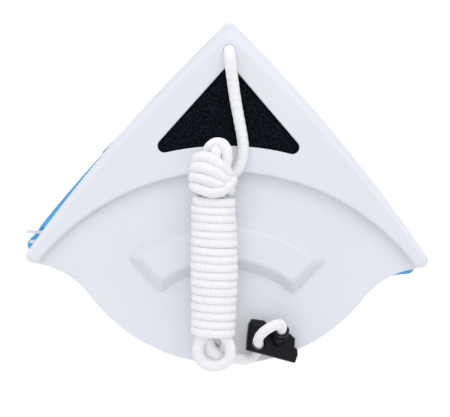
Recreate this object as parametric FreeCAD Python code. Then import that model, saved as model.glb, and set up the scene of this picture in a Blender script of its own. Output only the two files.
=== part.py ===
import FreeCAD, Part
import math
import os

# Double-sided magnetic window cleaner with a safety rope.
#
# Two halves of the same kite-shaped outline clamp a sheet of glass between them with magnets.
# Stored, they hold each other through a foam spacer: the inner half lies on its back and the
# outer half lies on top, back upwards, with the safety rope wound into a hank on it.
#
# Frame: millimetres, +Z up, +Y towards the pointed apex, +X to the right seen from above.
# The origin is the middle of the footprint, on the surface the inner half lies on.
# A half is drawn in its own frame, where w (its Z) is the height above its wiping plane and its
# back is up; the inner half is then turned over.

V = FreeCAD.Vector

# ---- driving dimensions -------------------------------------------------------------------

# plan outline of a half
SIDE_APEX_Y = 73.77          # where the two long sides would meet
SIDE_START_ANGLE = 43.88     # a long side's fall below the horizontal at the apex, degrees
SIDE_RADIUS = 665.5          # long sides are slightly bowed out
APEX_RADIUS = 3.0
CORNER_RADIUS = 3.2
FLANK_CENTRE = (85.47, -65.04)
FLANK_RADIUS = 34.47         # hollow curve between a corner and the round bottom
LOBE_CENTRE_Y = 0.83
LOBE_RADIUS = 73.445         # round bottom
SMALLEST_RADIUS = 0.8

# heights above the wiping plane
RIM_W = 4.5                  # edge of the casing
WALL_TOP_W = 18.5            # where the casing's side turns over
FAN_W = 21.0                 # lower, fan-shaped part of the back
BACK_W = 25.0                # raised chevron and grip
HALF_GAP = 5.0               # between the two wiping planes in storage
SPACER_CLEARANCE = 0.3

# casing: the chevron and the fan
WALL = 2.4
CHEVRON_INSET = 1.0
CHEVRON_CAVITY_INSET = 6.5
BEVEL_INSET = 3.7            # the chevron's bevel is widest at the apex
BEVEL_SHIFT = (10.4, -12.2)
BEVEL_FILLET = 1.0
TURN_FILLET = 2.6            # where the side turns over into the bevel
FAN_EDGE_FILLET = 2.4
RIDGE_CENTRE_Y = -92.4       # the chevron's lower edge is an arc about this point
RIDGE_RADIUS_TOP = 101.4
RIDGE_RADIUS_FOOT = 100.8
RIDGE_FILLET = 1.2

# casing: the window in the chevron
WINDOW_RADIUS = 112.5        # lower edge of the window, about the ridge's centre
WINDOW_APEX_Y = 54.95
WINDOW_SIDE_ANGLE = 48.8
WINDOW_CORNER_RADIUS = 2.85
WINDOW_COLLAR = 1.8
WINDOW_FILLET = 0.6

# casing: the grip
GRIP_CENTRE_Y = -73.3
GRIP_RADIUS_IN = 41.2
GRIP_RADIUS_OUT = 62.5
GRIP_HALF_ANGLE = 43.0
GRIP_BEVEL = 4.4
GRIP_CORNER_RADIUS = 3.0
GRIP_TOP_FILLET = 2.2

# base plate, magnets and screws
FIT = 0.2
PLATE_TOP_W = 6.5
MAGNET_SIZE = (34.0, 18.0, 8.0)
MAGNET_PLACES = ((-22.0, -3.5), (22.0, -3.5), (-22.0, -42.0), (22.0, -42.0))
MAGNET_CHAMFER = 0.5
MAGNET_RIM = 1.5
MAGNET_RIM_TOP_W = 10.0
KEEPER_SIZE = (80.0, 18.0, 1.5)
SCREW_PLACES = ((0.0, -60.5), (-64.0, -32.0), (64.0, -32.0), (-50.0, -8.0), (50.0, -8.0))
BOSS_RADIUS = 3.2
SCREW_RADIUS = 1.25
SCREW_HEAD_RADIUS = 2.6
SCREW_HEAD_HEIGHT = 1.2
SCREW_LENGTH = 10.0
DRIVE_LENGTH = 2.8           # the cross in a screw's head
DRIVE_WIDTH = 0.6
DRIVE_DEPTH = 0.7

# squeegee strips: a bulb, a neck and a lip
LIP_THICKNESS = 1.3
LIP_TOP_W = 4.0
NECK = 1.6
BULB = 4.0
BULB_FOOT_W = 5.4
BULB_TOP_W = 8.8
CHANNEL_WALL = 1.4
STRIP_CLEARANCE = 0.2
BASE_STRIP_Y = -21.8
BASE_STRIP_HALF_LENGTH = 83.9
BASE_BULB_HALF_LENGTH = 76.0
BASE_STRIP_SHIFT = 1.7       # both strips sit this much towards -X in their channels
SIDE_STRIP_INSET = 6.2       # a side strip's bulb, inside the casing's side
SIDE_STRIP_START = 14.0      # distances along the side from the apex
SIDE_STRIP_END = 80.5
SIDE_LIP_REACH = 0.6         # its lip leans out past the casing by this much
SIDE_LIP_ROOT_W = 3.2
SIDE_LIP_TIP_W = 0.9

# wiping pads, the window's sponge and the foam between the halves
PAD_INSET = 10.5
LOWER_PAD_INSET = 5.0
PAD_TOP_W = 3.5
PAD_GAP = 3.2                # between a pad and the base strip
PAD_WINDOW_GAP = 2.0
TAPE_INSET = 1.5
SPONGE_FACE_W = 0.8
SPONGE_BACK_W = 23.4
SPACER_INSET = 1.6

# how the halves lie in storage
OUTER_SHIFT = (1.3, -0.1)
INNER_SHIFT = (-0.1, 0.15)
INNER_TURN = -2.65

# safety rope: the stop knot inside the casing, and the lead out of its hole to the hank
ROPE_DIAMETER = 4.8
ROPE_HOLE = (-0.2, 60.4)
ROPE_HOLE_RADIUS = 2.45
ROPE_HOLE_FILLET = 0.3
STOP_KNOT_RADIUS = 4.3
STOP_KNOT_PLACE = (0.0, 61.1)
STOP_KNOT_W = 14.2
ARC_SHARE = 0.45             # of the shorter run, between a point and its arc's start
LEAD_START_W = 24.0
LEAD_POINTS = (
    (1.1, 60.3, 54.0), (1.1, 60.3, 58.5), (1.4, 56.9, 60.9), (2.0, 51.9, 60.3), (2.9, 46.0, 58.6),
    (3.9, 39.6, 57.6), (5.3, 32.4, 57.3), (6.8, 25.2, 57.4), (7.7, 19.2, 57.6), (7.3, 14.0, 57.8),
    (5.2, 9.4, 58.0), (1.8, 6.2, 58.6),
)

# the hank: its turns, the knot at its head and the loop at its foot
HANK_X = -4.4
HANK_HALF_WIDTH = 9.45
HANK_HALF_HEIGHT = 9.0
HANK_TOP_Y = 1.0
HANK_BOTTOM_Y = -62.6
HANK_CLEARANCE = 0.3
KNOT_BOX = ((-15.9, -3.0, 55.3), (3.6, 23.6, 76.0))
KNOT_FILLET = 7.0
LOOPS_CENTRE = (-3.45, -67.05)
LOOPS_RADIUS = 8.15
LOOPS_Z = (57.0, 71.0)
LOOPS_FILLET = 2.3
LOOPS_OVERLAP = 4.0

# the tail, from the hank through the clip's hole into its socket
TAIL_POINTS = (
    (1.6, -68.0, 59.2), (5.1, -69.6, 57.4), (9.0, -70.1, 55.3), (12.4, -69.2, 54.1), (14.6, -66.5, 54.4),
    (15.1, -63.4, 57.4), (14.7, -62.1, 61.6), (14.6, -60.5, 65.6), (15.4, -58.7, 69.0), (17.3, -56.6, 71.2),
    (20.1, -54.8, 71.4), (22.9, -53.9, 69.4), (24.5, -54.7, 66.3), (24.35, -56.6, 63.6), (23.9, -58.6, 60.9),
)

# the clip on the rope's end: drawn lying flat, its outline anticlockwise from the near corner
ANCHOR_OUTLINE = (
    (-1.3, 0.5), (20.1, 0.3), (20.5, 3.8), (19.8, 6.0), (18.3, 6.6), (17.7, 10.2), (15.3, 11.5), (4.4, 13.5),
    (3.2, 14.4), (-2.1, 13.8), (-2.9, 11.4), (-2.2, 5.1),
)
ANCHOR_THICKNESS = 3.6
ANCHOR_EDGE_CHAMFER = 0.4
ANCHOR_BACK_SLOPE = (2.8, 2.4)  # width and depth of the slope down to the back edge
ANCHOR_END_SLOPE = (1.4, 1.8)
ANCHOR_HOLE = (2.5, 4.45)
ANCHOR_HOLE_RADIUS = 2.9
SOCKET_FOOT = (11.0, 6.7, 1.0)
SOCKET_LEAN = (-0.213, 0.459, 0.863)
SOCKET_RADIUS = 2.9
SOCKET_LENGTH = 10.7
SOCKET_DEPTH = 4.0
RING_RISE = 0.4
RING_WIDTH = 1.2
RING_PLACES = (6.6, 9.5)

# the clip lies tilted against the casing's lower edge
ANCHOR_TURN = -13.8
ANCHOR_DOWNHILL = (0.865, 0.503)
ANCHOR_TILT = 17.5
ANCHOR_PIVOT = (4.5, 3.0)
ANCHOR_PIVOT_AT = (15.6, -64.9, 56.1)

INNER_PLANE_Z = BACK_W
OUTER_PLANE_Z = BACK_W + HALF_GAP


# ---- plan geometry ------------------------------------------------------------------------

def unit(x, y):
    length = math.hypot(x, y)
    return x / length, y / length


def point_at(centre, radius, towards):
    """The point on a circle in the direction of another point."""
    ux, uy = unit(towards[0] - centre[0], towards[1] - centre[1])
    return centre[0] + radius * ux, centre[1] + radius * uy


def circles_meet(c1, r1, c2, r2):
    """The higher of the two points where two circles meet."""
    dx, dy = c2[0] - c1[0], c2[1] - c1[1]
    d = math.hypot(dx, dy)
    along = (r1 * r1 - r2 * r2 + d * d) / (2 * d)
    across = math.sqrt(r1 * r1 - along * along)
    points = []
    for sign in (-1, 1):
        x = c1[0] + (along * dx - sign * across * dy) / d
        y = c1[1] + (along * dy + sign * across * dx) / d
        points.append((x, y))
    return max(points, key=lambda p: p[1])


def arc(centre, radius, start, end, w):
    """A circular arc of under half a turn, at height w."""
    mx = (start[0] + end[0]) / 2
    my = (start[1] + end[1]) / 2
    middle = point_at(centre, radius, (mx, my))
    points = [V(p[0], p[1], w) for p in (start, middle, end)]
    return Part.Arc(*points).toShape()


def mirrored(point):
    return -point[0], point[1]


def side_centre():
    angle = math.radians(SIDE_START_ANGLE)
    return -SIDE_RADIUS * math.sin(angle), SIDE_APEX_Y - SIDE_RADIUS * math.cos(angle)


def outline(inset, w, side_inset=None, side_shift=(0.0, 0.0)):
    """The plan outline at height w, moved in by inset; the long sides may move in differently."""
    side_inset = inset if side_inset is None else side_inset
    sx, sy = side_centre()
    side = (sx + side_shift[0], sy + side_shift[1])
    side_r = SIDE_RADIUS - side_inset
    apex_r = max(APEX_RADIUS - inset, SMALLEST_RADIUS)
    corner_r = max(CORNER_RADIUS - inset, SMALLEST_RADIUS)
    flank_r = FLANK_RADIUS + inset
    lobe = (0.0, LOBE_CENTRE_Y)
    lobe_r = LOBE_RADIUS - inset

    apex = (0.0, side[1] + math.sqrt((side_r - apex_r) ** 2 - side[0] ** 2))
    corner = circles_meet(side, side_r - corner_r, FLANK_CENTRE, flank_r + corner_r)
    top = point_at(side, side_r, apex)
    side_end = point_at(side, side_r, corner)
    flank_start = point_at(FLANK_CENTRE, flank_r, corner)
    lobe_start = point_at(lobe, lobe_r, FLANK_CENTRE)

    flank_left = mirrored(FLANK_CENTRE)
    edges = [
        arc(apex, apex_r, mirrored(top), top, w),
        arc(side, side_r, top, side_end, w),
        arc(corner, corner_r, side_end, flank_start, w),
        arc(FLANK_CENTRE, flank_r, flank_start, lobe_start, w),
        arc(lobe, lobe_r, lobe_start, mirrored(lobe_start), w),
        arc(flank_left, flank_r, mirrored(lobe_start), mirrored(flank_start), w),
        arc(mirrored(corner), corner_r, mirrored(flank_start), mirrored(side_end), w),
        arc(mirrored(side), side_r, mirrored(side_end), mirrored(top), w),
    ]
    return Part.Wire(edges)


def window_face(grow, w):
    """The rounded triangular window, grown outwards all round."""
    angle = math.radians(WINDOW_SIDE_ANGLE)
    centre = (0.0, RIDGE_CENTRE_Y)
    rise = WINDOW_APEX_Y - RIDGE_CENTRE_Y
    run = rise * math.sin(angle)
    reach = run - math.sqrt(run * run - rise * rise + WINDOW_RADIUS ** 2)
    corner = (reach * math.cos(angle), WINDOW_APEX_Y - reach * math.sin(angle))
    left, right, top = V(-corner[0], corner[1], w), V(corner[0], corner[1], w), V(0, WINDOW_APEX_Y, w)
    edges = [
        arc(centre, WINDOW_RADIUS, mirrored(corner), corner, w),
        Part.LineSegment(right, top).toShape(),
        Part.LineSegment(top, left).toShape(),
    ]
    sharp = Part.Face(Part.Wire(edges))
    core = sharp.makeOffset2D(-WINDOW_CORNER_RADIUS)
    return core.makeOffset2D(WINDOW_CORNER_RADIUS + grow)


def sector(inset, w):
    """The grip's outline: part of a ring, moved in all round."""
    centre = (0.0, GRIP_CENTRE_Y)
    radii = (GRIP_RADIUS_OUT - inset, GRIP_RADIUS_IN + inset)
    corners = []
    for radius in radii:
        angle = math.radians(GRIP_HALF_ANGLE) - math.asin(inset / radius)
        corners.append((radius * math.sin(angle), GRIP_CENTRE_Y + radius * math.cos(angle)))
    outer, inner = corners
    edges = [
        arc(centre, radii[0], mirrored(outer), outer, w),
        Part.LineSegment(V(*outer, w), V(*inner, w)).toShape(),
        arc(centre, radii[1], inner, mirrored(inner), w),
        Part.LineSegment(V(-inner[0], inner[1], w), V(-outer[0], outer[1], w)).toShape(),
    ]
    return Part.Wire(edges)


# ---- solids -------------------------------------------------------------------------------

def prism(wire_or_face, height):
    face = wire_or_face if wire_or_face.ShapeType == "Face" else Part.Face(wire_or_face)
    return face.extrude(V(0, 0, height))


def box(low, high):
    size = [b - a for a, b in zip(low, high)]
    return Part.makeBox(*size, V(*low))


def cylinder(centre, radius, low, high):
    return Part.makeCylinder(radius, high - low, V(centre[0], centre[1], low))


def edges_where(shape, test):
    """The edges all of whose sampled points pass a test."""
    chosen = []
    for edge in shape.Edges:
        if not edge.Degenerated and all(test(p) for p in edge.discretize(5)):
            chosen.append(edge)
    return chosen


def at_height(w):
    return lambda p: abs(p.z - w) < 0.01


def ridge_cone(low, high, grow=0.0):
    """Inside the chevron's lower edge, which slopes between the fan and the back."""
    slope = (RIDGE_RADIUS_TOP - RIDGE_RADIUS_FOOT) / (BACK_W - FAN_W)
    bottom_r = RIDGE_RADIUS_FOOT + slope * (low - FAN_W) + grow
    top_r = RIDGE_RADIUS_FOOT + slope * (high - FAN_W) + grow
    return Part.makeCone(bottom_r, top_r, high - low, V(0, RIDGE_CENTRE_Y, low))


def on_ridge(w, radius):
    return lambda p: (
        abs(p.z - w) < 0.02 and abs(math.hypot(p.x, p.y - RIDGE_CENTRE_Y) - radius) < 0.05
    )


def grip_form():
    """The raised, bevelled bow that the fingers hold."""
    form = Part.makeLoft([sector(0, FAN_W - 0.1), sector(GRIP_BEVEL, BACK_W)], True, True)
    slanted = [edge for edge in form.Edges if edge.BoundBox.ZLength > 1]
    form = form.makeFillet(GRIP_CORNER_RADIUS, slanted)
    return form.makeFillet(GRIP_TOP_FILLET, edges_where(form, at_height(BACK_W)))


def back_form():
    """The outside of the casing: the fan, with the chevron and the grip raised from it."""
    fan = prism(outline(0, RIM_W), FAN_W - RIM_W)
    fan = fan.makeFillet(FAN_EDGE_FILLET, edges_where(fan, at_height(FAN_W)))

    chevron_top = outline(CHEVRON_INSET, BACK_W, BEVEL_INSET, BEVEL_SHIFT)
    chevron = prism(outline(0, RIM_W), WALL_TOP_W - RIM_W)
    chevron = chevron.fuse(Part.makeLoft([outline(0, WALL_TOP_W), chevron_top], True, True))
    chevron = chevron.removeSplitter()
    chevron = chevron.makeFillet(TURN_FILLET, edges_where(chevron, at_height(WALL_TOP_W)))
    chevron = chevron.makeFillet(BEVEL_FILLET, edges_where(chevron, at_height(BACK_W)))
    chevron = chevron.cut(ridge_cone(FAN_W, BACK_W + 1))

    form = chevron.fuse(fan).removeSplitter()
    ridge = edges_where(form, on_ridge(FAN_W, RIDGE_RADIUS_FOOT))
    ridge += edges_where(form, on_ridge(BACK_W, RIDGE_RADIUS_TOP))
    form = form.makeFillet(RIDGE_FILLET, ridge)
    return form.fuse(grip_form())


def casing_cavity():
    fan = prism(outline(WALL, RIM_W), FAN_W - WALL - RIM_W)
    chevron = prism(outline(CHEVRON_CAVITY_INSET, RIM_W), BACK_W - WALL - RIM_W)
    chevron = chevron.cut(ridge_cone(RIM_W, BACK_W, WALL))
    grip = prism(sector(GRIP_BEVEL, RIM_W), BACK_W - WALL - RIM_W)
    return fan.fuse([chevron, grip])


def casing(has_rope_hole):
    """A thin moulded shell, open on the glass side, with a collar round its window."""
    shell = back_form().cut(casing_cavity())
    collar = prism(window_face(WINDOW_COLLAR, PLATE_TOP_W), BACK_W - 1 - PLATE_TOP_W)
    bosses = [cylinder(p, BOSS_RADIUS, PLATE_TOP_W, FAN_W - 1) for p in SCREW_PLACES]
    shell = shell.fuse([collar] + bosses)
    shell = shell.cut(prism(window_face(0, RIM_W - 1), BACK_W + 2 - RIM_W))
    pilot_top = RIM_W + SCREW_LENGTH + 1
    pilots = [cylinder(p, SCREW_RADIUS, PLATE_TOP_W - 1, pilot_top) for p in SCREW_PLACES]
    reach = BASE_STRIP_HALF_LENGTH + 5
    half_gate = BULB / 2 + STRIP_CLEARANCE
    gate = box(
        (-reach, BASE_STRIP_Y - half_gate, RIM_W - 1),
        (reach, BASE_STRIP_Y + half_gate, BULB_TOP_W + STRIP_CLEARANCE),
    )
    shell = shell.cut(pilots + [gate])
    if has_rope_hole:
        shell = shell.cut(cylinder(ROPE_HOLE, ROPE_HOLE_RADIUS, RIM_W, BACK_W + 1))
        mouth = edges_where(shell, lambda p: abs(p.z - BACK_W) < 0.01 and near_hole(p))
        shell = shell.makeFillet(ROPE_HOLE_FILLET, mouth)
    window_edge = edges_where(shell, lambda p: abs(p.z - BACK_W) < 0.01 and in_window_edge(p))
    return shell.makeFillet(WINDOW_FILLET, window_edge)


def near_hole(p):
    return math.hypot(p.x - ROPE_HOLE[0], p.y - ROPE_HOLE[1]) < ROPE_HOLE_RADIUS + 0.1


def in_window_edge(p):
    below_bevel = WINDOW_APEX_Y + 1 - abs(p.x)
    above_ridge = math.hypot(p.x, p.y - RIDGE_CENTRE_Y) > RIDGE_RADIUS_TOP + 2
    return above_ridge and p.y < below_bevel


# ---- squeegee strips ----------------------------------------------------------------------

def strip_section(lip, x):
    """A strip's section across its length: bulb, neck and lip, at distance x along it."""
    bulb, neck = BULB / 2, NECK / 2
    upper = [(neck, LIP_TOP_W), (neck, BULB_FOOT_W), (bulb, BULB_FOOT_W), (bulb, BULB_TOP_W)]
    lower = [(-s, w) for s, w in reversed(upper)]
    points = [V(x, s, w) for s, w in upper + lower + lip]
    return Part.Wire(Part.makePolygon(points + points[:1]))


def base_strip(shift):
    """The long strip from corner to corner; only its lip reaches past the casing."""
    half = LIP_THICKNESS / 2
    bulb, neck = BULB / 2, NECK / 2
    long, short = BASE_STRIP_HALF_LENGTH, BASE_BULB_HALF_LENGTH
    lip = box((-long, -half, 0), (long, half, LIP_TOP_W))
    stem = box((-short, -neck, LIP_TOP_W), (short, neck, BULB_FOOT_W))
    root = box((-short, -bulb, BULB_FOOT_W), (short, bulb, BULB_TOP_W))
    strip = lip.fuse([stem, root]).removeSplitter()
    strip.translate(V(shift, BASE_STRIP_Y, 0))
    return strip


def side_line():
    """Where the right-hand side strip lies: its start, its direction and its length."""
    sx, sy = side_centre()
    ends = []
    for distance in (SIDE_STRIP_START, SIDE_STRIP_END):
        angle = math.radians(90 - SIDE_START_ANGLE) - distance / SIDE_RADIUS
        ends.append((sx + SIDE_RADIUS * math.cos(angle), sy + SIDE_RADIUS * math.sin(angle)))
    dx, dy = ends[1][0] - ends[0][0], ends[1][1] - ends[0][1]
    ux, uy = unit(dx, dy)
    start = (ends[0][0] + SIDE_STRIP_INSET * uy, ends[0][1] - SIDE_STRIP_INSET * ux)
    return start, math.degrees(math.atan2(dy, dx)), math.hypot(dx, dy)


def along_side(shape):
    """Places a shape drawn along +X at the origin on the right-hand side strip's line."""
    start, angle, _ = side_line()
    shape.Placement = FreeCAD.Placement(V(*start, 0), FreeCAD.Rotation(V(0, 0, 1), angle))
    return shape


def mirror_left(shape):
    return shape.mirror(V(0, 0, 0), V(1, 0, 0))


def side_strip():
    """A short strip along a long side, whose lip leans out past the casing."""
    tip = SIDE_STRIP_INSET + SIDE_LIP_REACH
    lip = [(-NECK / 2, SIDE_LIP_ROOT_W), (tip - 0.5, 0.0), (tip, SIDE_LIP_TIP_W)]
    length = side_line()[2]
    return along_side(Part.Face(strip_section(lip, 0)).extrude(V(length, 0, 0)))


def channel(length, overrun):
    """The room for a strip drawn along +X: its bulb, and the slot its neck passes."""
    half_bulb = BULB / 2 + STRIP_CLEARANCE
    half_neck = NECK / 2 + STRIP_CLEARANCE
    low, high = BULB_FOOT_W - STRIP_CLEARANCE, BULB_TOP_W + STRIP_CLEARANCE
    room = box((-overrun, -half_bulb, low), (length + overrun, half_bulb, high))
    slot = box((-overrun, -half_neck, RIM_W - 1), (length + overrun, half_neck, low + 0.1))
    return room.fuse(slot)


def channel_housing(length):
    half = BULB / 2 + STRIP_CLEARANCE + CHANNEL_WALL
    top = BULB_TOP_W + STRIP_CLEARANCE + CHANNEL_WALL
    return box((0, -half, PLATE_TOP_W - 1), (length, half, top))


# ---- inside a half ------------------------------------------------------------------------

def base_plate():
    """Closes the casing and carries the strips, the magnets and the pads."""
    blank = prism(outline(WALL + FIT, RIM_W), BACK_W - RIM_W)
    plate = prism(outline(WALL + FIT, RIM_W), PLATE_TOP_W - RIM_W)
    side_length = side_line()[2]
    base_length = 2 * BASE_STRIP_HALF_LENGTH
    base_housing = channel_housing(base_length)
    base_channel = channel(base_length, 5)
    for piece in (base_housing, base_channel):
        piece.translate(V(-BASE_STRIP_HALF_LENGTH, BASE_STRIP_Y, 0))
    side_housing = along_side(channel_housing(side_length))
    side_channel = along_side(channel(side_length, 0))
    housings = [base_housing, side_housing, mirror_left(side_housing)]
    channels = [base_channel, side_channel, mirror_left(side_channel)]

    rims, pockets = [], []
    for x, y in MAGNET_PLACES:
        half_x, half_y = MAGNET_SIZE[0] / 2 + FIT, MAGNET_SIZE[1] / 2 + FIT
        rim_x, rim_y = half_x + MAGNET_RIM, half_y + MAGNET_RIM
        low_rim = (x - rim_x, y - rim_y, PLATE_TOP_W - 1)
        rims.append(box(low_rim, (x + rim_x, y + rim_y, MAGNET_RIM_TOP_W)))
        low_pocket = (x - half_x, y - half_y, PLATE_TOP_W)
        pockets.append(box(low_pocket, (x + half_x, y + half_y, BACK_W)))

    plate = plate.fuse([piece.common(blank) for piece in housings] + rims)
    holes = [cylinder(p, SCREW_RADIUS + FIT, RIM_W - 1, PLATE_TOP_W + 1) for p in SCREW_PLACES]
    heads = [
        cylinder(p, SCREW_HEAD_RADIUS + FIT, RIM_W - 1, RIM_W + SCREW_HEAD_HEIGHT)
        for p in SCREW_PLACES
    ]
    window = prism(window_face(0, RIM_W - 1), BACK_W)
    return plate.cut(channels + pockets + holes + heads + [window]).removeSplitter()


def magnets():
    """Four magnet blocks; their poles face the glass."""
    size_x, size_y, height = MAGNET_SIZE
    blocks = []
    for x, y in MAGNET_PLACES:
        corner = V(x - size_x / 2, y - size_y / 2, PLATE_TOP_W)
        block = Part.makeBox(size_x, size_y, height, corner)
        blocks.append(block.makeChamfer(MAGNET_CHAMFER, block.Edges))
    return Part.makeCompound(blocks)


def keeper_plates():
    """Two steel plates, each closing the field behind a pair of magnets."""
    size_x, size_y, thickness = KEEPER_SIZE
    plates = []
    for y in sorted({place[1] for place in MAGNET_PLACES}):
        corner = V(-size_x / 2, y - size_y / 2, PLATE_TOP_W + MAGNET_SIZE[2])
        plates.append(Part.makeBox(size_x, size_y, thickness, corner))
    return Part.makeCompound(plates)


def screws():
    """Pan-head screws up through the base plate into the casing's bosses."""
    group = []
    for place in SCREW_PLACES:
        head = cylinder(place, SCREW_HEAD_RADIUS, RIM_W, RIM_W + SCREW_HEAD_HEIGHT)
        drive_low = (place[0] - DRIVE_LENGTH / 2, place[1] - DRIVE_WIDTH / 2, RIM_W)
        drive_high = (place[0] + DRIVE_LENGTH / 2, place[1] + DRIVE_WIDTH / 2, RIM_W + DRIVE_DEPTH)
        cross_low = (place[0] - DRIVE_WIDTH / 2, place[1] - DRIVE_LENGTH / 2, RIM_W)
        cross_high = (place[0] + DRIVE_WIDTH / 2, place[1] + DRIVE_LENGTH / 2, RIM_W + DRIVE_DEPTH)
        head = head.cut([box(drive_low, drive_high), box(cross_low, cross_high)])
        shank = cylinder(place, SCREW_RADIUS - 0.02, RIM_W + 1, RIM_W + SCREW_LENGTH)
        group.append(head.fuse(shank).removeSplitter())
    return Part.makeCompound(group)


def pad_face(upper, inset, w):
    """The plan of a wiping pad: above the base strip, round the window, or below it."""
    gap = PAD_GAP + inset
    reach = LOBE_RADIUS + SIDE_APEX_Y
    if upper:
        area = box((-reach, BASE_STRIP_Y + gap, w - 1), (reach, reach, w + 1))
        face = Part.Face(outline(PAD_INSET + inset, w)).common(area)
        face = face.cut(window_face(PAD_WINDOW_GAP + inset, w))
    else:
        area = box((-reach, -reach, w - 1), (reach, BASE_STRIP_Y - gap, w + 1))
        face = Part.Face(outline(LOWER_PAD_INSET + inset, w)).common(area)
    return face.Faces[0]


def pad(upper):
    return prism(pad_face(upper, 0.0, 0.0), PAD_TOP_W)


def hook_tape(upper):
    """Stuck to the base plate; the pad's back grips it."""
    return prism(pad_face(upper, TAPE_INSET, PAD_TOP_W), RIM_W - PAD_TOP_W)


def wetting_sponge():
    """Open foam filling the window, wetted from the back and wiping at the front."""
    return prism(window_face(-FIT, SPONGE_FACE_W), SPONGE_BACK_W - SPONGE_FACE_W)


def half_parts(has_rope_hole, strip_shift):
    return {
        "casing": casing(has_rope_hole),
        "base_plate": base_plate(),
        "magnets": magnets(),
        "keeper_plates": keeper_plates(),
        "base_squeegee": base_strip(strip_shift),
        "right_squeegee": side_strip(),
        "left_squeegee": mirror_left(side_strip()),
        "upper_pad": pad(True),
        "lower_pad": pad(False),
        "upper_hook_tape": hook_tape(True),
        "lower_hook_tape": hook_tape(False),
        "wetting_sponge": wetting_sponge(),
        "screws": screws(),
    }


def storage_spacer():
    """The foam sheet that keeps the two halves apart when there is no glass between them."""
    sheet = prism(outline(SPACER_INSET, SPACER_CLEARANCE), HALF_GAP - 2 * SPACER_CLEARANCE)
    sheet.translate(V(*OUTER_SHIFT, INNER_PLANE_Z))
    return sheet


# ---- safety rope --------------------------------------------------------------------------

def cord_tube(name, points, radius):
    """A tube along straight runs joined by tangent arcs, one arc at each inner point."""
    edges, radii = [], []
    last = points[0]
    for before, point, after in zip(points, points[1:], points[2:]):
        back, ahead = before - point, after - point
        shorter = min(back.Length, ahead.Length)
        half_turn = (math.pi - back.getAngle(ahead)) / 2
        setback = ARC_SHARE * shorter
        radii.append(setback / math.tan(half_turn))
        back.normalize()
        ahead.normalize()
        start, end = point + back * setback, point + ahead * setback
        inward = (back + ahead).normalize()
        to_middle = radii[-1] / math.cos(half_turn) - radii[-1]
        middle = point + inward * to_middle
        edges.append(Part.LineSegment(last, start).toShape())
        edges.append(Part.Arc(start, middle, end).toShape())
        last = end
    edges.append(Part.LineSegment(last, points[-1]).toShape())
    path = Part.Wire(edges)
    direction = points[1] - points[0]
    section = Part.Wire(Part.Circle(points[0], direction, radius).toShape())
    tube = path.makePipeShell([section], True, False)
    swept = path.Length * math.pi * radius ** 2
    rounded = [round(r, 1) for r in radii]
    print(f"{name}: length {path.Length:.1f}, volume ratio {tube.Volume / swept:.4f}, radii {rounded}")
    return tube


def stop_knot():
    """The knot inside the casing that stops the rope pulling out, and the rope up the hole."""
    centre = V(*STOP_KNOT_PLACE, STOP_KNOT_W)
    ball = Part.makeSphere(STOP_KNOT_RADIUS, centre)
    neck = cylinder(ROPE_HOLE, ROPE_DIAMETER / 2, STOP_KNOT_W, LEAD_START_W)
    return ball.fuse(neck)


def rope_lead():
    """Out of the hole, over in a low hump and across the window to the knot."""
    return cord_tube("rope_lead", [V(*p) for p in LEAD_POINTS], ROPE_DIAMETER / 2)


def rope_hank():
    """The outer shape of the wound hank: its knot, its turns and its bottom loops."""
    middle_z = OUTER_PLANE_Z + BACK_W + HANK_CLEARANCE + HANK_HALF_HEIGHT
    centre = V(HANK_X, HANK_TOP_Y, middle_z)
    round_off = Part.Ellipse(
        V(HANK_X + HANK_HALF_WIDTH, HANK_TOP_Y, middle_z),
        V(HANK_X, HANK_TOP_Y, middle_z + HANK_HALF_HEIGHT),
        centre,
    )
    turns = Part.Face(Part.Wire(round_off.toShape())).extrude(V(0, HANK_BOTTOM_Y - HANK_TOP_Y, 0))
    knot = box(*KNOT_BOX)
    knot = knot.makeFillet(KNOT_FILLET, knot.Edges)
    low, high = LOOPS_Z
    loops = cylinder(LOOPS_CENTRE, LOOPS_RADIUS, low, high)
    x, y = LOOPS_CENTRE
    overlap_y = HANK_BOTTOM_Y + LOOPS_OVERLAP
    loops = loops.fuse(box((x - LOOPS_RADIUS, y, low), (x + LOOPS_RADIUS, overlap_y, high)))
    loops = loops.removeSplitter()
    bottom = edges_where(loops, lambda p: p.y < y + 1 and (abs(p.z - low) < 0.1 or abs(p.z - high) < 0.1))
    loops = loops.makeFillet(LOOPS_FILLET, bottom)
    return turns.fuse([knot, loops]).removeSplitter()


def rope_tail():
    """From the hank under the anchor, up through its hole and over into its socket."""
    return cord_tube("rope_tail", [V(*p) for p in TAIL_POINTS], ROPE_DIAMETER / 2)


def slope(start, end, width, depth):
    """The wedge that slopes the clip's top down to the edge of its outline from start to end."""
    along = (end - start).normalize()
    inward = V(-along.y, along.x, 0)
    rise = depth / width
    foot = start - along * 3
    low = foot - inward + V(0, 0, ANCHOR_THICKNESS - depth - rise)
    high = foot + inward * (width + 1) + V(0, 0, ANCHOR_THICKNESS + rise)
    outer = foot - inward + V(0, 0, ANCHOR_THICKNESS + rise)
    section = Part.Face(Part.makePolygon([low, high, outer, low]))
    return section.extrude(along * ((end - start).Length + 6))


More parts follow.
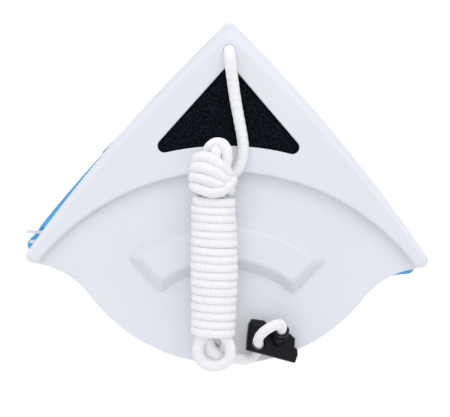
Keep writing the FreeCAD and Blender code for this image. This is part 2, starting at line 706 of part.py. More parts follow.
def rope_anchor():
    """The moulded clip on the rope's end: a plate with a hole, and a ringed socket."""
    corners = [V(x, y, 0) for x, y in ANCHOR_OUTLINE]
    plate = Part.Face(Part.Wire(Part.makePolygon(corners + corners[:1]))).extrude(V(0, 0, ANCHOR_THICKNESS))
    top = edges_where(plate, at_height(ANCHOR_THICKNESS))
    plate = plate.makeChamfer(ANCHOR_EDGE_CHAMFER, top)
    wedges = [slope(corners[8], corners[9], *ANCHOR_BACK_SLOPE)]
    end_sides = zip(corners[9:], corners[10:] + corners[:1])
    wedges += [slope(start, end, *ANCHOR_END_SLOPE) for start, end in end_sides]
    plate = plate.cut(wedges)
    lean = V(*SOCKET_LEAN).normalize()
    foot = V(*SOCKET_FOOT)
    socket = Part.makeCylinder(SOCKET_RADIUS, SOCKET_LENGTH, foot, lean)
    rings = [
        Part.makeCylinder(SOCKET_RADIUS + RING_RISE, RING_WIDTH, foot + lean * along, lean)
        for along in RING_PLACES
    ]
    bore_foot = foot + lean * (SOCKET_LENGTH - SOCKET_DEPTH)
    bore = Part.makeCylinder(ROPE_DIAMETER / 2, SOCKET_DEPTH + 1, bore_foot, lean)
    floor = Part.makeBox(60, 60, 20, V(-20, -20, -20))
    hole = cylinder(ANCHOR_HOLE, ANCHOR_HOLE_RADIUS, -1, ANCHOR_THICKNESS + 1)
    anchor = plate.fuse([socket] + rings).cut([bore, hole, floor]).removeSplitter()

    turn = FreeCAD.Rotation(V(0, 0, 1), ANCHOR_TURN)
    downhill = turn.multVec(V(*ANCHOR_DOWNHILL, 0)).normalize()
    tilt = FreeCAD.Rotation(V(-downhill.y, downhill.x, 0), ANCHOR_TILT)
    rotation = tilt.multiply(turn)
    base = V(*ANCHOR_PIVOT_AT) - rotation.multVec(V(*ANCHOR_PIVOT, 0))
    anchor.Placement = FreeCAD.Placement(base, rotation)
    return anchor


# ---- assembly -----------------------------------------------------------------------------

def place_outer(shape):
    return shape.transformed(FreeCAD.Placement(V(*OUTER_SHIFT, OUTER_PLANE_Z), FreeCAD.Rotation()).toMatrix())


def place_inner(shape):
    """Turned over on to its back, then turned a little and moved as it lies under the outer."""
    over = FreeCAD.Rotation(V(0, 1, 0), 180)
    turn = FreeCAD.Rotation(V(0, 0, 1), INNER_TURN)
    placement = FreeCAD.Placement(V(*INNER_SHIFT, INNER_PLANE_Z), turn.multiply(over))
    return shape.transformed(placement.toMatrix())


def main():
    os.makedirs("parts", exist_ok=True)
    nodes = {}
    for name, shape in half_parts(True, -BASE_STRIP_SHIFT).items():
        nodes["outer_" + name] = place_outer(shape)
    for name, shape in half_parts(False, BASE_STRIP_SHIFT).items():
        nodes["inner_" + name] = place_inner(shape)
    nodes["storage_spacer"] = storage_spacer()
    nodes["rope_stop_knot"] = place_outer(stop_knot())
    nodes["rope_lead"] = rope_lead()
    nodes["rope_hank"] = rope_hank()
    nodes["rope_tail"] = rope_tail()
    nodes["rope_anchor"] = rope_anchor()
    for name, shape in nodes.items():
        solids = len(shape.Solids)
        print(f"{name}: valid {shape.isValid()}, solids {solids}, volume {shape.Volume:.0f}")
        shape.exportStep(os.path.join("parts", name + ".step"))


main()
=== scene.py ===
"""The looks of a magnetic window cleaner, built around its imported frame.

Lengths are in metres, and MM turns millimetres into metres. Only the hank's sizes and the rope's points are
in millimetres. +Y points to the cleaner's apex and +Z out of the outer half's back, which lies uppermost,
with the safety rope's hank on it.
"""

import math

import bpy
import numpy as np
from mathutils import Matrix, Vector, noise


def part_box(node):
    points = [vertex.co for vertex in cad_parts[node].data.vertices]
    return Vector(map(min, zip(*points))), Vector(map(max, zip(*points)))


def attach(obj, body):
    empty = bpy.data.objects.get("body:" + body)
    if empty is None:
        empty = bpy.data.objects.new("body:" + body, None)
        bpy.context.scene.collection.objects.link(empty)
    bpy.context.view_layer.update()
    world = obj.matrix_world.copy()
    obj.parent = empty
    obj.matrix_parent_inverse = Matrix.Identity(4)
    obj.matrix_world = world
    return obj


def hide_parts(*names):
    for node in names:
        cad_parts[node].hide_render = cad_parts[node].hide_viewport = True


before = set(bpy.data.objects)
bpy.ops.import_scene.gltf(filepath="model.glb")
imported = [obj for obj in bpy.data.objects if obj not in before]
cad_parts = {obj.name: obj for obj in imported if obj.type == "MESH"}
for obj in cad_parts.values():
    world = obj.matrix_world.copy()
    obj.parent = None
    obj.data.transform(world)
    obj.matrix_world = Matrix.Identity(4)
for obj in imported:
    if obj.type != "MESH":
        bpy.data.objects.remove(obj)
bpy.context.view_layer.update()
MM = 0.001

# the rope
LOOSE_RADIUS = 2.35 * MM            # a strand that nothing squeezes
TAUT_RADIUS = 2.1 * MM              # where it is drawn tight through the clip
TAUT_LENGTH = 42 * MM
PRESSED_RADIAL = 2.4 * MM           # half thickness of a wound strand, out from the hank
PRESSED_ALONG = 1.95 * MM           # half width of a wound strand, along the hank
PRESSED_SQUARE = 0.55               # 0 for an oval section, towards 1 for a square one
BRAID_PITCH = 6.4 * MM
BRAID_RISE = 0.04                   # height of the braid's ridges, as a share of the radius
SWELL = 0.025                       # slow changes of thickness, as a share of the radius
SWELL_LENGTH = 11 * MM
PRESSING_IN = 8 * MM                # length over which the rope goes flat at the hank's top
PRESSING_OUT = 6 * MM               # and round again at its foot
TAUT_EASE = 10 * MM
ROPE_STEP = 0.5 * MM                # between rings of the rope's mesh
ROPE_SIDES = 28
ROPE_EXIT = (1.1 * MM, 60.3 * MM, 55 * MM)

# the hank's wound turns, in millimetres
HANK_TURNS = 17
HANK_PITCH = 3.36
HANK_FIRST_Y = -4.05                # middle of the first turn's front
HANK_TOP_X = -4.85
HANK_BOTTOM_X = -4.1
HANK_BOTTOM_Y = -62.0
HANK_MIDDLE_Z = 64.3
RING_HALF_WIDTH = 6.8
RING_HALF_HEIGHT = 6.75
POINTS_PER_TURN = 16
FRONT_SHARE = 0.32                  # share of the pitch that a turn's front takes
FRONT_SAG = 0.85
HANK_LEAN = 0.5                     # the middle of the hank leans to the right
HANK_BULGE = 0.75                   # and is wider than its ends
TURN_WOBBLE = (0.25, 0.35)          # how far a turn's middle strays across and along the hank
TURN_LOOSENESS = (0.3, 0.2)         # how much a turn's half width and half height differ

# the stop knot, an overhand knot pulled tight
KNOT_RING = 2.5 * MM
KNOT_WAVE = 1.3 * MM
KNOT_STRAND_RADIUS = 1.5 * MM
KNOT_HEIGHT = 8.6 * MM
KNOT_NECK = 6 * MM                  # length over which its strand gets thinner
KNOT_POINTS = 36

# the camera, the floor and the light
CAMERA_DISTANCE = 0.75
VIEW_WIDTH = 191.25 * MM            # what the picture's width takes in, at the height of SEEN_PLANE_Z
SEEN_PLANE_Z = 49 * MM
VIEW_CENTRE = (0.17 * MM, -6.51 * MM)
CAMERA_ROLL = 0.7                   # degrees
SENSOR_WIDTH = 36                   # millimetres, as Blender takes it
FLOOR_HALF = 3.0
FLOOR_Z = -0.3 * MM                 # just under the cleaner
FLOOR_TONE = 0.1
FLOOR_GLOW = 0.95
SKY_COLOUR = (0.95, 0.965, 1.0)
SKY_STRENGTH = 0.81
LIGHT_AIM = (0, 0, 0.03)
# each light's place, size and power in watts
LIGHTS = {
    "key": ((0.2, 1.0, 0.8), (1.4, 0.7), 4.5),
    "top": ((-0.2, -0.1, 1.2), (1.2, 1.2), 2.0),
}

# the rope's points from here to its end are in millimetres
# the lead, from inside the casing out through the hole near the apex to the knot
LEAD = [
    (1.1, 60.3, 54.0), (1.1, 60.3, 58.5), (1.4, 56.9, 60.9), (2.0, 51.9, 60.3), (2.9, 46.0, 58.6),
    (3.9, 39.6, 57.6), (5.3, 32.4, 57.3), (6.8, 25.2, 57.4), (7.7, 19.2, 57.6), (7.3, 14.0, 57.8),
    (5.2, 9.4, 58.0), (1.8, 6.2, 58.6),
]
# four slanting turns that gather the top of the hank, each behind, up the left, across and down the right
KNOT = [
    (-2.5, 4.6, 57.9), (-7.2, 6.3, 57.7), (-10.9, 9.0, 59.4), (-12.5, 11.9, 63.0), (-11.7, 14.4, 67.6),
    (-8.8, 14.9, 71.6), (-5.2, 13.6, 73.2), (-1.6, 11.0, 72.6), (1.2, 8.2, 69.4), (1.7, 6.6, 64.6),
    (0.2, 6.1, 60.6), (-4.0, 7.1, 58.8), (-8.5, 8.2, 59.0), (-12.1, 8.8, 61.4), (-13.2, 9.8, 65.6),
    (-12.0, 10.4, 70.3), (-8.8, 10.3, 73.6), (-4.9, 8.7, 74.4), (-1.4, 6.4, 73.2), (1.4, 4.4, 69.8),
    (2.3, 3.4, 64.8), (0.6, 3.4, 60.4), (-3.8, 4.4, 58.4), (-8.5, 5.3, 58.6), (-12.2, 5.9, 61.2),
    (-13.4, 6.4, 65.4), (-12.3, 6.4, 70.2), (-9.2, 5.7, 73.4), (-5.4, 4.3, 74.3), (-1.9, 3.2, 73.2),
    (1.3, 1.9, 69.8), (2.3, 1.0, 64.8), (0.7, 1.1, 60.2), (-3.6, 2.3, 58.2), (-8.3, 3.2, 58.2),
    (-11.9, 3.5, 60.8), (-12.9, 3.1, 65.0), (-12.0, 2.3, 69.6), (-9.3, 1.1, 72.8), (-5.4, -0.2, 73.8),
    (-1.5, 0.4, 73.4), (1.2, 3.0, 72.0), (2.7, 5.2, 68.8), (3.1, 4.9, 64.2), (1.9, 2.3, 60.0),
    (-1.8, 0.2, 57.9), (-6.6, -1.0, 57.5),
]
# up through the hank, doubled over inside the top loop, and down again
FIRST_LOOP = [
    (-6.2, -63.8, 58.6), (-2.0, -66.0, 60.4), (0.5, -65.4, 62.0), (1.0, -62.0, 62.5), (-0.3, -57.0, 62.2),
    (-2.0, -48.0, 62.1), (-2.1, -36.0, 62.0),
    (-2.2, -24.0, 62.1), (-2.3, -12.0, 62.0), (-2.5, -1.0, 62.0), (-2.8, 8.0, 61.5), (-3.1, 13.6, 61.2),
    (-3.2, 17.0, 62.6), (-3.4, 18.6, 65.0), (-3.8, 17.2, 67.6), (-4.4, 12.8, 67.8), (-5.6, 5.0, 67.2),
    (-6.7, -6.0, 66.5), (-6.9, -18.0, 66.5), (-6.6, -30.0, 66.4), (-6.4, -42.0, 66.5), (-6.3, -54.0, 66.4),
]
# round the front loop at the hank's foot
FRONT_LOOP = [
    (-7.4, -59.0, 66.6), (-9.8, -62.4, 66.8), (-10.5, -66.4, 66.4), (-9.0, -70.2, 65.8), (-5.6, -72.0, 65.4),
    (-1.7, -72.0, 65.4), (1.8, -70.2, 65.8), (3.3, -66.4, 66.4), (2.6, -62.4, 66.8), (-0.1, -59.0, 66.6),
]
# up again, over as the upper top loop, and down the back of the hank
SECOND_LOOP = [
    (-2.0, -54.0, 66.5), (-2.0, -42.0, 66.4), (-2.1, -30.0, 66.5), (-2.2, -18.0, 66.4), (-2.3, -6.0, 66.5),
    (-1.2, 5.0, 66.6), (0.4, 12.0, 67.0), (0.9, 16.2, 67.0), (-0.2, 19.7, 66.6), (-3.2, 21.0, 66.0),
    (-6.4, 19.5, 65.0), (-7.6, 16.0, 63.6), (-7.2, 8.0, 62.2), (-6.9, -2.0, 62.0), (-6.9, -14.0, 62.1),
    (-6.8, -26.0, 62.0), (-6.6, -38.0, 62.1), (-6.5, -50.0, 62.0),
]
# through the eye of the front loop, out under the clip, up through its hole and over into its socket
TAIL = [
    (-6.4, -57.0, 63.2), (-6.0, -61.0, 64.3), (-5.3, -64.6, 64.6), (-3.4, -66.8, 64.0), (-0.8, -68.2, 62.0),
    (1.6, -68.8, 59.6), (5.1, -69.6, 57.4), (9.0, -70.1, 55.3), (12.4, -69.2, 54.1), (14.6, -66.5, 54.4),
    (15.1, -63.4, 57.4), (14.7, -62.1, 61.6), (14.6, -60.5, 65.6), (15.4, -58.7, 69.0), (17.3, -56.6, 71.2),
    (20.1, -54.8, 71.4), (22.9, -53.9, 69.4), (24.5, -54.7, 66.3), (24.35, -56.6, 63.6), (23.9, -58.6, 60.9),
]


# ---- helpers ---------------------------------------------------------------------------------

def new_object(name, data):
    """An object in the scene, around this mesh, lamp or camera."""
    obj = bpy.data.objects.new(name, data)
    bpy.context.scene.collection.objects.link(obj)
    return obj


def dress(obj, *materials):
    """Gives a piece or a CAD node its materials."""
    obj.data.materials.clear()
    for material in materials:
        obj.data.materials.append(material)


def smooth(obj):
    """Shades the object's faces smooth."""
    obj.data.polygons.foreach_set("use_smooth", [True] * len(obj.data.polygons))


# ---- the rope's route --------------------------------------------------------------------------

def hank_turns():
    """The points of the wound turns, from the top of the hank to its foot, in millimetres."""
    points = []
    count = HANK_TURNS * POINTS_PER_TURN
    for i in range(count):
        turn, part = divmod(i, POINTS_PER_TURN)
        part /= POINTS_PER_TURN
        along = i / count
        angle = math.pi - 2 * math.pi * part
        front = max(0.0, math.sin(angle))
        if part < 0.5:
            share = 2 * part * FRONT_SHARE
        else:
            share = FRONT_SHARE + (2 * part - 1) * (1 - FRONT_SHARE)
        wobble = noise.noise((3.1 * along + 0.7 * turn, 0.2, 4.0))
        loose = noise.noise((1.3 * turn, 7.0, 0.5 * part))
        middle = math.sin(math.pi * along)
        centre_x = HANK_TOP_X + (HANK_BOTTOM_X - HANK_TOP_X) * along + HANK_LEAN * middle
        centre_x += TURN_WOBBLE[0] * wobble
        half_width = RING_HALF_WIDTH + HANK_BULGE * middle + TURN_LOOSENESS[0] * loose
        x = centre_x + half_width * math.cos(angle)
        y = HANK_FIRST_Y - HANK_PITCH * (turn + share - FRONT_SHARE / 2)
        y += FRONT_SAG * (0.6 - front) + TURN_WOBBLE[1] * wobble
        z = HANK_MIDDLE_Z + (RING_HALF_HEIGHT + TURN_LOOSENESS[1] * loose) * math.sin(angle)
        points.append((x, y, z))
    return points


def route():
    """The whole rope's points in metres, with the first and last one of the hank's wound turns."""
    wound = hank_turns()
    before = LEAD + KNOT
    after = FIRST_LOOP + FRONT_LOOP + SECOND_LOOP + TAIL
    points = before + wound + after
    return [Vector(p) * MM for p in points], len(before), len(before) + len(wound) - 1


def spline_line(points):
    """The smooth line of a NURBS spline with these control points."""
    curve = bpy.data.curves.new("route", "CURVE")
    curve.dimensions = "3D"
    spline = curve.splines.new("NURBS")
    spline.points.add(len(points) - 1)
    for place, point in zip(spline.points, points):
        place.co = (*point, 1.0)
    spline.order_u = 3
    spline.use_endpoint_u = True
    spline.resolution_u = 12
    holder = bpy.data.objects.new("route", curve)
    mesh = bpy.data.meshes.new_from_object(holder)
    line = np.array([v.co for v in mesh.vertices])
    bpy.data.meshes.remove(mesh)
    bpy.data.objects.remove(holder)
    bpy.data.curves.remove(curve)
    return line


def evenly(line, step):
    """The line with its points about step apart, and the distance along it of each."""
    gaps = np.linalg.norm(np.diff(line, axis=0), axis=1)
    along = np.concatenate([[0.0], np.cumsum(gaps)])
    at = np.linspace(0, along[-1], int(along[-1] / step) + 1)
    return np.stack([np.interp(at, along, line[:, k]) for k in range(3)], axis=1), at


def steady_frames(line):
    """Tangents, and side vectors that turn with the line and never about it."""
    tangents = np.gradient(line, axis=0)
    tangents /= np.linalg.norm(tangents, axis=1)[:, None]
    side = np.cross(tangents[0], (0.3, 0.9, 0.2))
    sides = []
    for tangent in tangents:
        side = side - tangent * side.dot(tangent)
        side = side / np.linalg.norm(side)
        sides.append(side)
    return tangents, np.array(sides)


def smooth_step(x):
    """0 below 0 and 1 above 1, with a soft rise between them."""
    x = np.clip(x, 0, 1)
    return x * x * (3 - 2 * x)


def rounded_power(value, power):
    """A power that keeps the sign; under 1 it squares a circle's sine and cosine."""
    return np.sign(value) * np.abs(value) ** power


def make_rope():
    """The safety rope as one mesh tube, round where it is loose and flat where it is wound, and its line."""
    points, first, last = route()
    line, along = evenly(spline_line(points), ROPE_STEP)
    tangents, sides = steady_frames(line)
    others = np.cross(tangents, sides)

    def place_of(point):
        return int(np.argmin(np.linalg.norm(line - np.array(point), axis=1)))

    wound_from, wound_to = place_of(points[first]), place_of(points[last])
    knot_from = place_of(points[len(LEAD)])
    axis_x = np.interp(line[:, 1], [HANK_BOTTOM_Y * MM, 0], [HANK_BOTTOM_X * MM, HANK_TOP_X * MM])
    outward = line - np.stack([axis_x, line[:, 1], np.full(len(line), HANK_MIDDLE_Z * MM)], axis=1)
    turn = np.unwrap(np.arctan2((outward * others).sum(1), (outward * sides).sum(1)))
    held = np.clip(np.arange(len(line)), knot_from, wound_to)
    turn = turn[held]
    pressed = smooth_step((along - along[wound_from]) / PRESSING_IN)
    pressed *= 1 - smooth_step((along - along[wound_to]) / PRESSING_OUT)
    out = sides * np.cos(turn)[:, None] + others * np.sin(turn)[:, None]
    across = np.cross(tangents, out)

    angles = np.arange(ROPE_SIDES) * 2 * math.pi / ROPE_SIDES
    c, s = np.cos(angles), np.sin(angles)
    squareness = 1 - PRESSED_SQUARE * pressed
    taut = smooth_step((along - along[-1] + TAUT_LENGTH) / TAUT_EASE)
    loose = LOOSE_RADIUS + (TAUT_RADIUS - LOOSE_RADIUS) * taut
    radial = loose + (PRESSED_RADIAL - loose) * pressed
    wide = loose + (PRESSED_ALONG - loose) * pressed
    ring_out = rounded_power(c[None, :], squareness[:, None]) * radial[:, None]
    ring_across = rounded_power(s[None, :], squareness[:, None]) * wide[:, None]
    lay = 2 * math.pi * along / BRAID_PITCH
    ridges = np.cos(4 * angles[None, :] + lay[:, None]) * np.cos(4 * angles[None, :] - lay[:, None])
    swell = 1 + BRAID_RISE * ridges + SWELL * np.sin(along / SWELL_LENGTH)[:, None]
    ring_out *= swell
    ring_across *= swell
    rings = line[:, None, :] + ring_out[:, :, None] * out[:, None, :]
    rings = rings + ring_across[:, :, None] * across[:, None, :]
    return tube_mesh("safety_rope", rings, along), line


def tube_mesh(name, rings, along):
    """A closed tube through rings of points, with a map of its own round (U) and along (V) in millimetres."""
    count, sides, _ = rings.shape
    caps = np.array([rings[0].mean(0), rings[-1].mean(0)])
    verts = np.concatenate([rings.reshape(-1, 3), caps])
    i = np.arange(count - 1)[:, None] * sides
    j = np.arange(sides)[None, :]
    k = (j + 1) % sides
    quads = np.stack([i + j, i + k, i + sides + k, i + sides + j], axis=-1).reshape(-1, 4)
    start, end = count * sides, count * sides + 1
    ring = list(range(sides))
    top = (count - 1) * sides
    fans = [(start, (a + 1) % sides, a) for a in ring]
    fans += [(end, top + a, top + (a + 1) % sides) for a in ring]
    mesh = bpy.data.meshes.new(name)
    mesh.from_pydata(verts.tolist(), [], quads.tolist() + fans)
    layer = mesh.uv_layers.new(name="rope_map")
    u = np.stack([j, j + 1, j + 1, j], axis=-1) / sides
    v = np.stack([along[:-1], along[:-1], along[1:], along[1:]], axis=-1)[:, None, :] / MM
    quad_map = np.stack(np.broadcast_arrays(u, v), axis=-1).reshape(-1, 2)
    fan_map = np.zeros((len(fans) * 3, 2))
    layer.data.foreach_set("uv", np.concatenate([quad_map, fan_map]).astype(np.float32).ravel())
    mesh.validate()
    obj = new_object(name, mesh)
    smooth(obj)
    return obj


rope, rope_line = make_rope()
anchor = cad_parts["rope_anchor"]
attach(rope, "outer_half")
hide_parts("rope_lead", "rope_hank", "rope_tail")


def make_stop_knot():
    """The overhand knot inside the casing, with its neck up to the hole."""
    low, high = (Vector(corner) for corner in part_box("rope_stop_knot"))
    middle = Vector(((low.x + high.x) / 2, (low.y + high.y) / 2, low.z + KNOT_HEIGHT / 2))
    turns = []
    for i in range(KNOT_POINTS):
        angle = 2 * math.pi * i / KNOT_POINTS
        reach = KNOT_RING + KNOT_WAVE * math.cos(3 * angle)
        turns.append(middle + Vector((
            reach * math.cos(2 * angle), reach * math.sin(2 * angle), KNOT_WAVE * math.sin(3 * angle),
        )))
    exit_point = Vector(ROPE_EXIT)
    neck = [exit_point - Vector((0, 0, depth * MM)) for depth in (1, 3, 5)]
    line, along = evenly(spline_line(neck + turns), ROPE_STEP)
    tangents, sides = steady_frames(line)
    others = np.cross(tangents, sides)
    angles = np.arange(ROPE_SIDES) * 2 * math.pi / ROPE_SIDES
    thick = LOOSE_RADIUS + (KNOT_STRAND_RADIUS - LOOSE_RADIUS) * smooth_step(along / KNOT_NECK)
    ring = np.cos(angles)[None, :, None] * sides[:, None, :]
    ring = ring + np.sin(angles)[None, :, None] * others[:, None, :]
    knot = tube_mesh("stop_knot", line[:, None, :] + ring * thick[:, None, None], along)
    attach(knot, "outer_half")
    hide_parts("rope_stop_knot")
    return knot


stop_knot = make_stop_knot()


# ---- foam, fleece and tape -----------------------------------------------------------------------

def remeshed(name, node, voxel, rounding):
    """A copy of a CAD solid with an even fine mesh and its edges rounded off."""
    obj = new_object(name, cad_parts[node].data.copy())
    obj.data.materials.clear()
    remesh = obj.modifiers.new("remesh", "REMESH")
    remesh.mode = "VOXEL"
    remesh.voxel_size = voxel
    soften = obj.modifiers.new("soften", "SMOOTH")
    soften.factor = 0.5
    soften.iterations = rounding
    coarse = obj.data
    obj.data = bpy.data.meshes.new_from_object(obj.evaluated_get(bpy.context.evaluated_depsgraph_get()))
    obj.modifiers.clear()
    bpy.data.meshes.remove(coarse)
    obj.data.name = name
    return obj


def roughen(obj, layers):
    """Moves the surface in and out by layers of noise, each a height and a grain size."""
    count = len(obj.data.vertices)
    places, normals = np.empty(count * 3), np.empty(count * 3)
    obj.data.vertices.foreach_get("co", places)
    obj.data.vertices.foreach_get("normal", normals)
    places, normals = places.reshape(-1, 3), normals.reshape(-1, 3)
    moves = np.zeros(count)
    for height, grain in layers:
        moves += [height * noise.noise(place) for place in (places / grain).tolist()]
    obj.data.vertices.foreach_set("co", (places + normals * moves[:, None]).ravel())
    obj.data.update()


# each kind's slot, fill, mesh size, rounds of smoothing, and layers of noise as height and grain size
SOFT_KINDS = {
    "window_foam": ("sponge", 1.0, 0.7 * MM, 3, ((0.35 * MM, 9 * MM), (0.16 * MM, 1.1 * MM))),
    "fleece": ("fleece", 0.8, 0.8 * MM, 5, ((0.2 * MM, 6 * MM), (0.15 * MM, 1.0 * MM))),
    "tape": ("hook_tape", 1.0, 0.5 * MM, 1, ((0.06 * MM, 0.9 * MM),)),
    "spacer_foam": ("spacer_foam", 1.0, 1.0 * MM, 4, ((0.15 * MM, 12 * MM), (0.06 * MM, 1.4 * MM))),
}


def soft_piece(kind, name, node, body, material):
    """A soft piece of this kind in place of the CAD node."""
    slot, fill, voxel, rounding, layers = SOFT_KINDS[kind]
    piece = remeshed(name, node, voxel, rounding)
    roughen(piece, layers)
    smooth(piece)
    dress(piece, material)
    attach(piece, body)
    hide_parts(node)


# ---- materials -----------------------------------------------------------------------------------

def linear(r, g, b):
    """A screen colour, 0 to 255 a channel, as the linear colour that shaders take."""
    def one(value):
        value /= 255
        return value / 12.92 if value <= 0.04045 else ((value + 0.055) / 1.055) ** 2.4
    return one(r), one(g), one(b)


class Shader:
    """A material's node tree, with short ways to add to it."""

    def __init__(self, name):
        self.material = bpy.data.materials.new(name)
        self.material.use_nodes = True
        self.tree = self.material.node_tree
        self.surface = self.tree.nodes["Principled BSDF"]
        self.place = self.add("ShaderNodeTexCoord").outputs["Object"]

    def add(self, kind, **settings):
        node = self.tree.nodes.new(kind)
        for name, value in settings.items():
            setattr(node, name, value)
        return node

    def link(self, source, target):
        self.tree.links.new(source, target)

    def set(self, **values):
        for name, value in values.items():
            self.surface.inputs[name.replace("_", " ")].default_value = value

    def noise(self, scale, detail=3.0, roughness=0.5, vector=None):
        node = self.add("ShaderNodeTexNoise")
        node.inputs["Scale"].default_value = scale
        node.inputs["Detail"].default_value = detail
        node.inputs["Roughness"].default_value = roughness
        self.link(vector or self.place, node.inputs["Vector"])
        return node.outputs["Fac"]

    def voronoi(self, scale):
        node = self.add("ShaderNodeTexVoronoi")
        node.inputs["Scale"].default_value = scale
        self.link(self.place, node.inputs["Vector"])
        return node.outputs["Distance"]

    def ramp(self, source, *stops):
        node = self.add("ShaderNodeValToRGB")
        elements = node.color_ramp.elements
        while len(elements) < len(stops):
            elements.new(0.5)
        for element, (at, colour) in zip(elements, stops):
            element.position = at
            element.color = (*colour, 1.0) if isinstance(colour, tuple) else (colour,) * 3 + (1.0,)
        self.link(source, node.inputs["Fac"])
        return node.outputs["Color"]

    def maths(self, operation, a, b=0.0):
        node = self.add("ShaderNodeMath", operation=operation)
        for socket, value in zip(node.inputs, (a, b)):
            if isinstance(value, (int, float)):
                socket.default_value = value
            else:
                self.link(value, socket)
        return node.outputs["Value"]

    def bump(self, height, distance, strength=1.0, normal=None):
        node = self.add("ShaderNodeBump")
        node.inputs["Distance"].default_value = distance
        node.inputs["Strength"].default_value = strength
        self.link(height, node.inputs["Height"])
        if normal is not None:
            self.link(normal, node.inputs["Normal"])
        return node.outputs["Normal"]

    def tint(self, source, *stops):
        """Colours the surface by the source. Each stop is a place and a screen colour."""
        colours = [(at, linear(*colour)) for at, colour in stops]
        self.link(self.ramp(source, *colours), self.surface.inputs["Base Color"])

    def gloss(self, source, low, high):
        """Varies the roughness from low to high by the source."""
        self.link(self.ramp(source, (0.3, low), (0.7, high)), self.surface.inputs["Roughness"])

    def relief(self, normal):
        self.link(normal, self.surface.inputs["Normal"])

    def mix(self, first, share, second):
        """Adds two values, the first with this share and the second with the rest."""
        rest = self.maths("MULTIPLY", second, 1 - share)
        return self.maths("ADD", self.maths("MULTIPLY", first, share), rest)


def moulded_plastic(name, colour, darker, roughness, grain, shine=0.5):
    """Moulded ABS: a nearly even colour, fine grain, and a satin gloss that varies a little."""
    s = Shader(name)
    s.tint(s.noise(28, 2), (0.35, darker), (0.65, colour))
    fine = s.noise(900, 2)
    s.gloss(fine, roughness - 0.05, roughness + 0.05)
    waves = s.bump(s.noise(60, 2), 0.00012)
    s.relief(s.bump(fine, grain, 1.0, waves))
    s.set(IOR=1.5, Specular_IOR_Level=shine)
    return s.material


def braided_rope():
    """Soft white polyester braid: crossing strands of fine yarns, from the rope's own map, with painted
    groove shade.
    """
    s = Shader("braided_rope")
    uv = s.add("ShaderNodeUVMap", uv_map="rope_map").outputs["UV"]
    split = s.add("ShaderNodeSeparateXYZ")
    s.link(uv, split.inputs["Vector"])
    round_it = s.maths("MULTIPLY", split.outputs["X"], 2 * math.pi * 8)
    along = s.maths("MULTIPLY", split.outputs["Y"], 2 * math.pi / (BRAID_PITCH / MM) * 2)
    one_way = s.maths("ADD", round_it, along)
    other_way = s.maths("SUBTRACT", round_it, along)
    crowns = s.maths("MULTIPLY", s.maths("COSINE", one_way), s.maths("COSINE", other_way))
    yarns = s.maths("COSINE", s.maths("MULTIPLY", one_way, 5))
    fuzz = s.maths("MULTIPLY", s.noise(2600, 3, 0.7), 0.9)
    height = s.maths("ADD", s.mix(crowns, 0.8, yarns), fuzz)
    s.relief(s.bump(height, 0.00009))
    # painted shade: the grooves between the braid's crowns are coloured darker than the crowns, with random
    # fuzz on top
    fuzz_and_painted_groove_shade = s.maths("ADD", s.maths("MULTIPLY", crowns, 0.25), fuzz)
    s.tint(fuzz_and_painted_groove_shade, (0.1, (246, 244, 246)), (0.75, (254, 253, 254)))
    s.set(Roughness=0.85, Sheen_Weight=0.2, Sheen_Roughness=0.5)
    s.set(Subsurface_Weight=0.4, Subsurface_Scale=0.0015, Subsurface_Radius=(0.5, 0.5, 0.5))
    return s.material


def open_foam():
    """Black open-cell foam: small pits with painted shade, and cell walls with painted highlight specks."""
    s = Shader("open_foam")
    pits = s.ramp(s.voronoi(1100), (0.1, 0.0), (0.55, 1.0))
    fine = s.noise(2300, 3, 0.75)
    tone = s.maths("ADD", s.maths("MULTIPLY", pits, 0.35), s.maths("MULTIPLY", fine, 0.75))
    # painted shade in the pits and painted highlight specks on the cell walls, with random fine grain
    s.tint(tone, (0.36, (1, 2, 4)), (0.58, (4, 7, 11)), (0.8, (28, 33, 40)))
    s.relief(s.bump(s.maths("ADD", pits, s.maths("MULTIPLY", fine, 0.8)), 0.00025))
    s.set(Roughness=1.0, Specular_IOR_Level=0.04)
    return s.material


def closed_foam():
    """Dark grey EVA foam sheet with a fine skin."""
    s = Shader("closed_foam")
    fine = s.noise(1500, 3, 0.6)
    s.tint(s.mix(fine, 0.6, s.noise(70, 2)), (0.35, (48, 50, 54)), (0.65, (64, 66, 70)))
    s.relief(s.bump(fine, 0.00008))
    s.set(Roughness=0.9, Specular_IOR_Level=0.3)
    return s.material


def fleece():
    """Pale microfibre fleece: short tufts in soft clumps."""
    s = Shader("fleece")
    tone = s.mix(s.noise(330, 3, 0.65), 0.55, s.noise(2400, 3, 0.75))
    s.tint(tone, (0.3, (176, 190, 208)), (0.55, (208, 217, 228)), (0.75, (232, 237, 243)))
    s.relief(s.bump(tone, 0.0004))
    s.set(Roughness=0.95, Sheen_Weight=0.4, Sheen_Roughness=0.6)
    return s.material


def hook_tape():
    """Grey nylon tape, closely set with small hooks."""
    s = Shader("hook_tape")
    dots = s.ramp(s.voronoi(1100), (0.15, 1.0), (0.4, 0.0))
    s.tint(dots, (0.2, (150, 154, 160)), (0.8, (196, 199, 204)))
    s.relief(s.bump(dots, 0.0003))
    s.set(Roughness=0.55)
    return s.material


def rubber():
    """Pale squeegee rubber, a little translucent, with faint moulding streaks."""
    s = Shader("rubber")
    s.tint(s.noise(90, 3), (0.35, (212, 220, 232)), (0.65, (226, 232, 241)))
    fine = s.noise(1300, 2)
    s.gloss(fine, 0.42, 0.55)
    s.relief(s.bump(fine, 0.00002))
    s.set(IOR=1.45, Subsurface_Weight=0.25, Subsurface_Scale=0.002, Subsurface_Radius=(0.5, 0.5, 0.5))
    return s.material


def ferrite():
    """Sintered ferrite: charcoal, matt, with ground faces."""
    s = Shader("ferrite")
    grain = s.noise(1800, 4, 0.7)
    s.tint(s.mix(grain, 0.6, s.noise(120, 2)), (0.35, (46, 46, 48)), (0.65, (74, 74, 77)))
    s.gloss(grain, 0.5, 0.72)
    s.relief(s.bump(grain, 0.00003))
    s.set(Metallic=0.3)
    return s.material


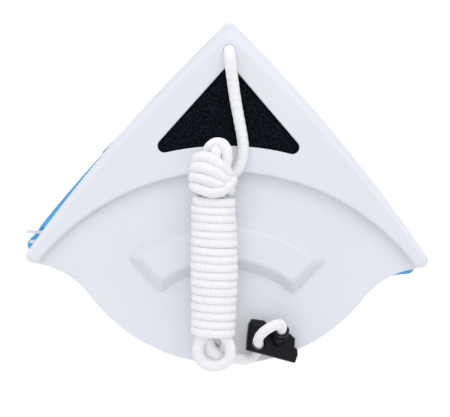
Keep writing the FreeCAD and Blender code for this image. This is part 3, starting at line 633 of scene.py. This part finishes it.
def plated_steel(name, colour, stained, roughness):
    """Zinc-plated steel with fine drawing marks and slight stains."""
    s = Shader(name)
    s.tint(s.noise(160, 3), (0.35, stained), (0.6, colour))
    marks = s.noise(700, 4, 0.7)
    s.gloss(marks, roughness - 0.08, roughness + 0.1)
    s.relief(s.bump(marks, 0.00001))
    s.set(Metallic=1.0)
    return s.material


WHITE_ABS = moulded_plastic("white_abs", (227, 229, 234), (225, 227, 233), 0.33, 0.00001)
BLUE_ABS = moulded_plastic("blue_abs", (82, 188, 254), (77, 184, 252), 0.34, 0.00001)
BLACK_PLASTIC = moulded_plastic("black_plastic", (17, 17, 23), (13, 13, 18), 0.42, 0.00003, 0.22)
PLATE_PLASTIC = moulded_plastic("plate_plastic", (212, 216, 222), (206, 210, 217), 0.45, 0.00002)
ROPE_BRAID = braided_rope()
OPEN_FOAM = open_foam()
CLOSED_FOAM = closed_foam()
FLEECE = fleece()
HOOK_TAPE = hook_tape()
RUBBER = rubber()
FERRITE = ferrite()
KEEPER_STEEL = plated_steel("plated_steel", (186, 190, 196), (168, 172, 177), 0.36)
SCREW_STEEL = plated_steel("screw_steel", (196, 196, 192), (177, 177, 174), 0.3)
FINISHES = {
    "base_plate": PLATE_PLASTIC, "magnets": FERRITE, "keeper_plates": KEEPER_STEEL, "screws": SCREW_STEEL,
    "base_squeegee": RUBBER, "right_squeegee": RUBBER, "left_squeegee": RUBBER,
}

dress(rope, ROPE_BRAID)
dress(stop_knot, ROPE_BRAID)
dress(anchor, BLACK_PLASTIC)
for half, casing_plastic in (("outer", WHITE_ABS), ("inner", BLUE_ABS)):
    body = f"{half}_half"
    dress(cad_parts[f"{half}_casing"], casing_plastic)
    for part, finish in FINISHES.items():
        dress(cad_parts[f"{half}_{part}"], finish)
    soft_piece("window_foam", f"{half}_window_foam", f"{half}_wetting_sponge", body, OPEN_FOAM)
    for place in ("upper", "lower"):
        soft_piece("fleece", f"{half}_{place}_fleece", f"{half}_{place}_pad", body, FLEECE)
        soft_piece("tape", f"{half}_{place}_tape", f"{half}_{place}_hook_tape", body, HOOK_TAPE)
soft_piece("spacer_foam", "spacer_foam", "storage_spacer", "spacer", CLOSED_FOAM)


# ---- stage, light and camera ---------------------------------------------------------------------

def make_floor():
    """A plain white floor that glows a little."""
    mesh = bpy.data.meshes.new("floor")
    corners = [(x * FLOOR_HALF, y * FLOOR_HALF, FLOOR_Z) for x, y in ((-1, -1), (1, -1), (1, 1), (-1, 1))]
    mesh.from_pydata(corners, [], [(0, 1, 2, 3)])
    floor = new_object("floor", mesh)
    s = Shader("floor")
    s.set(Roughness=0.9, Base_Color=(FLOOR_TONE,) * 3 + (1.0,))
    s.set(Emission_Color=(1.0, 1.0, 1.0, 1.0), Emission_Strength=FLOOR_GLOW)
    dress(floor, s.material)


def make_light():
    """An even sky and the area lights."""
    world = bpy.data.worlds.new("studio")
    world.use_nodes = True
    background = world.node_tree.nodes["Background"]
    background.inputs["Color"].default_value = (*SKY_COLOUR, 1.0)
    background.inputs["Strength"].default_value = SKY_STRENGTH
    bpy.context.scene.world = world
    for name, (place, size, power) in LIGHTS.items():
        lamp = bpy.data.lights.new(name, "AREA")
        lamp.shape = "RECTANGLE"
        lamp.size, lamp.size_y = size
        lamp.energy = power
        light = new_object(name, lamp)
        light.location = place
        light.rotation_euler = (Vector(LIGHT_AIM) - Vector(place)).to_track_quat("-Z", "Y").to_euler()


def make_camera():
    """Straight above, looking down, with the apex to the top of the picture."""
    data = bpy.data.cameras.new("camera")
    data.sensor_width = SENSOR_WIDTH
    data.lens = SENSOR_WIDTH * CAMERA_DISTANCE / VIEW_WIDTH
    camera = new_object("camera", data)
    camera.location = (*VIEW_CENTRE, SEEN_PLANE_Z + CAMERA_DISTANCE)
    camera.rotation_euler = (0, 0, math.radians(CAMERA_ROLL))
    bpy.context.scene.camera = camera


make_floor()
make_light()
make_camera()
bpy.context.scene.view_settings.view_transform = "Standard"
